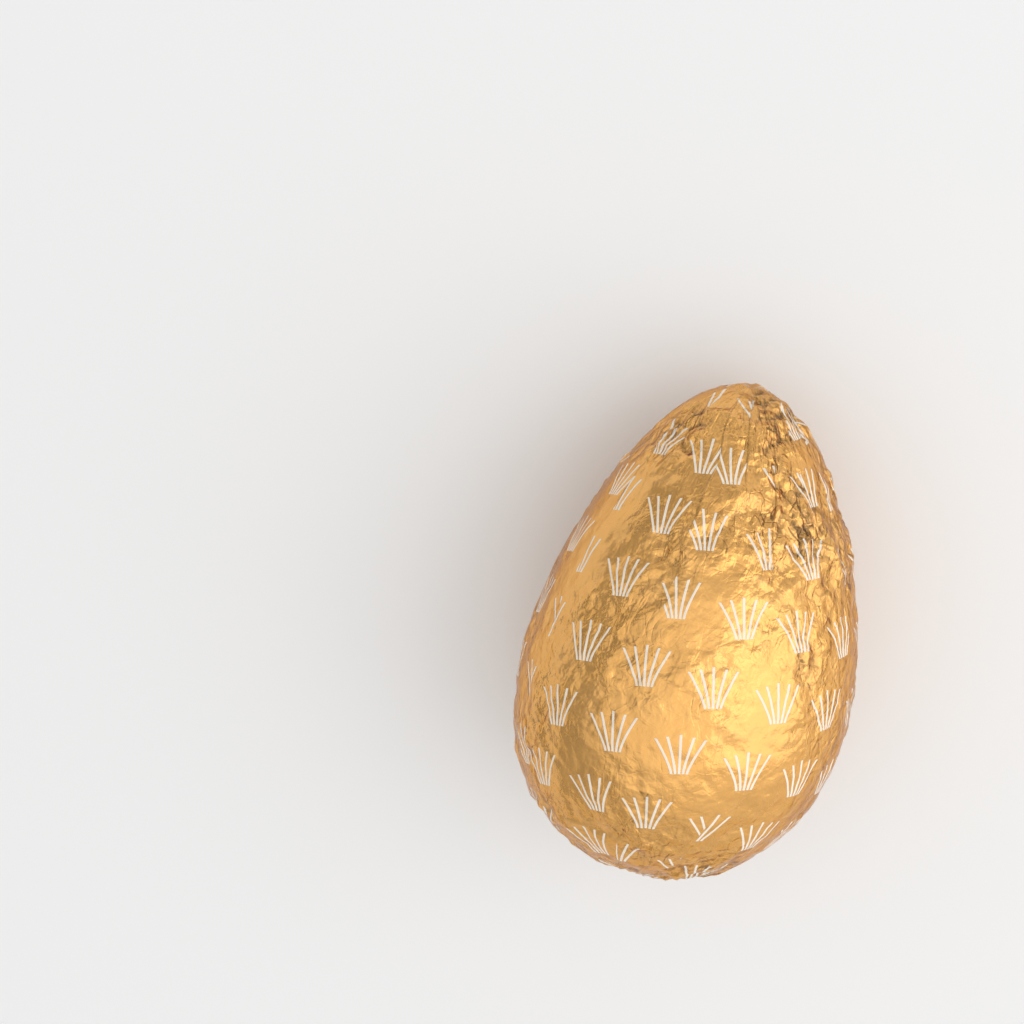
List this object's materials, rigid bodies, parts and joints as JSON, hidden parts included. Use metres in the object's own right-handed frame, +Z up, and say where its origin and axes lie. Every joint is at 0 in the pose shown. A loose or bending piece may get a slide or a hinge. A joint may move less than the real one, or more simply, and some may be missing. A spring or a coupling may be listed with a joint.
{
  "type": "foil-wrapped chocolate egg",
  "caption": "Chocolate egg in gold printed foil, pleated towards both ends, lying on its side on a small flat spot.",
  "frame": {"origin": "centre of the bounding box's underside, on the surface that the egg lies on", "axes": "+Y along the egg towards its narrow tip, +Z up, +X to the right as seen from above with the tip ahead; the egg's own axis dips 9 degrees towards the tip"},
  "size_m": [0.0658, 0.1006, 0.0663],
  "materials": {
    "gold_foil": "thin aluminium foil with transparent gold lacquer and white print, finely creased, satin to glossy"
  },
  "bodies": {
    "root": {"foil_wrapped_egg": "gold_foil"}
  },
  "joints": []
}
